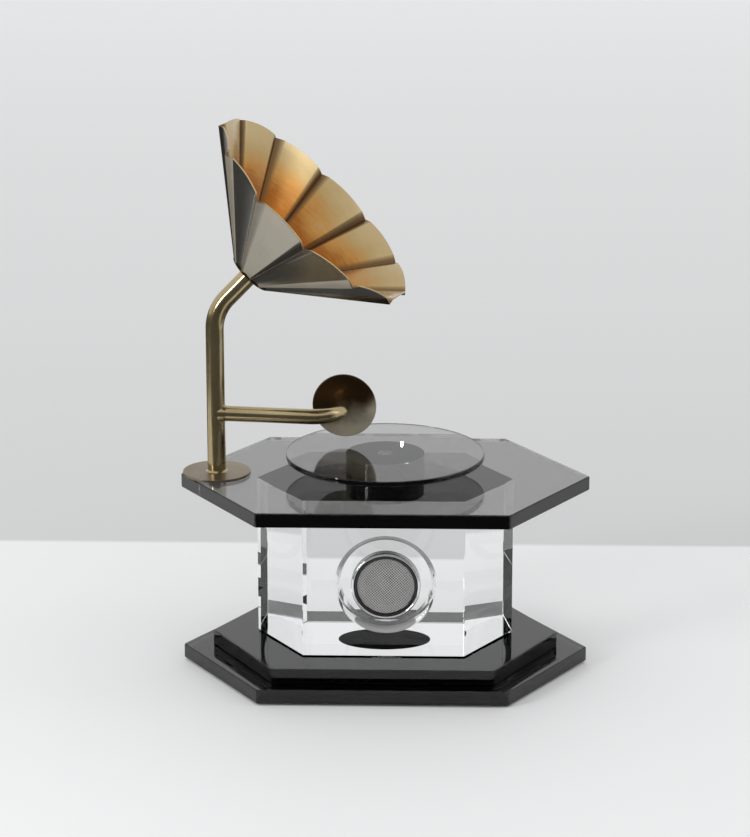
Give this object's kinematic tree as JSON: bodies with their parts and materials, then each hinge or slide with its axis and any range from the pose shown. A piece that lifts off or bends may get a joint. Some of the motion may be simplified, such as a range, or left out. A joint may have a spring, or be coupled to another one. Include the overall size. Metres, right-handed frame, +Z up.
{
  "type": "horn loudspeaker",
  "caption": "Gramophone-shaped table loudspeaker: panelled brass horn on a bent pole, smoked glass plates and a clear block holding a pull-out round speaker.",
  "frame": {"origin": "centre of the base pad's underside", "axes": "+Z up, -Y towards the front face that holds the speaker, -X towards the horn's pole"},
  "size_m": [0.2652, 0.1693, 0.3614],
  "materials": {
    "antique_brass": "antique, lacquered",
    "bell_brass": "satin, lacquered",
    "black_foam": "matt",
    "black_trim": "gloss",
    "board": "solder mask",
    "cell_wrap": "shrink film",
    "chrome_trim": "polished",
    "cone_paper": "matt",
    "copper": "wound",
    "cover_plastic": "fine texture",
    "crystal": "polished",
    "felt": "matt",
    "ferrite": "ground",
    "frosted_acrylic": "polished translucent",
    "grille_steel": "woven",
    "hub_plastic": "polished",
    "led_lens": "clear",
    "smoked_glass": "polished",
    "steel": "turned"
  },
  "bodies": {
    "base": {"base_pad": "black_foam", "lower_base_plate": "smoked_glass", "step_plate": "smoked_glass", "block_pad": "black_foam", "crystal_block": "crystal", "top_plate": "smoked_glass", "spindle_pin": "steel", "thrust_washer": "cover_plastic", "stand_felt_washer": "felt"},
    "turntable": {"turntable_hub": "hub_plastic", "hub_bush": "cover_plastic", "record_disc": "frosted_acrylic"},
    "horn_stand": {"stand_flange": "antique_brass", "stand_pole": "antique_brass", "pole_foot_plug": "steel", "pole_top_plug": "steel", "stand_stud": "steel", "stand_washer": "steel", "stand_nut": "steel", "tone_arm": "antique_brass", "arm_end_plug": "steel", "sound_box_disc": "antique_brass", "sound_box_screw": "antique_brass", "horn_seat": "bell_brass", "horn_washer": "antique_brass", "horn_screw": "antique_brass", "horn_panel_01": "bell_brass", "horn_panel_02": "bell_brass", "horn_panel_03": "bell_brass", "horn_panel_04": "bell_brass", "horn_panel_05": "bell_brass", "horn_panel_06": "bell_brass", "horn_panel_07": "bell_brass", "horn_panel_08": "bell_brass", "horn_panel_09": "bell_brass", "horn_panel_10": "bell_brass", "horn_panel_11": "bell_brass", "horn_panel_12": "bell_brass"},
    "speaker_pod": {"speaker_can": "chrome_trim", "pod_grip_ring": "black_foam", "speaker_bezel": "chrome_trim", "speaker_trim": "black_trim", "speaker_grille": "grille_steel", "grille_gasket": "black_foam", "driver_basket": "steel", "driver_front_plate": "steel", "driver_magnet": "ferrite", "driver_yoke": "steel", "battery_cell": "cell_wrap", "circuit_board": "board", "usb_port": "steel", "rear_cover": "cover_plastic", "cover_screws": "steel", "status_led": "led_lens"},
    "driver_cone_body": {"driver_cone": "cone_paper", "voice_coil": "copper", "surround_roll": "black_foam", "dust_cap": "cone_paper"},
    "power_button_body": {"power_button": "black_trim"}
  },
  "joints": [
    {"name": "record_spin", "type": "hinge", "parent": "base", "child": "turntable", "pos_m": [0, 0, 0.135], "axis": [0, 0, 1], "continuous": true},
    {"name": "stand_swivel", "type": "hinge", "parent": "base", "child": "horn_stand", "pos_m": [-0.1095, 0, 0.13], "axis": [0, 0, 1], "range_deg": [-25, 35]},
    {"name": "speaker_pull", "type": "slide", "parent": "base", "child": "speaker_pod", "axis": [0, -1, 0], "range_m": [0, 0.042]},
    {"name": "cone_travel", "type": "slide", "parent": "speaker_pod", "child": "driver_cone_body", "axis": [0, -1, 0], "range_m": [-0.0006, 0.0006], "stiffness_N_per_m": 1000},
    {"name": "power_press", "type": "slide", "parent": "speaker_pod", "child": "power_button_body", "axis": [0, -1, 0], "range_m": [0, 0.0004], "stiffness_N_per_m": 1500, "springref_m": -0.0003}
  ]
}
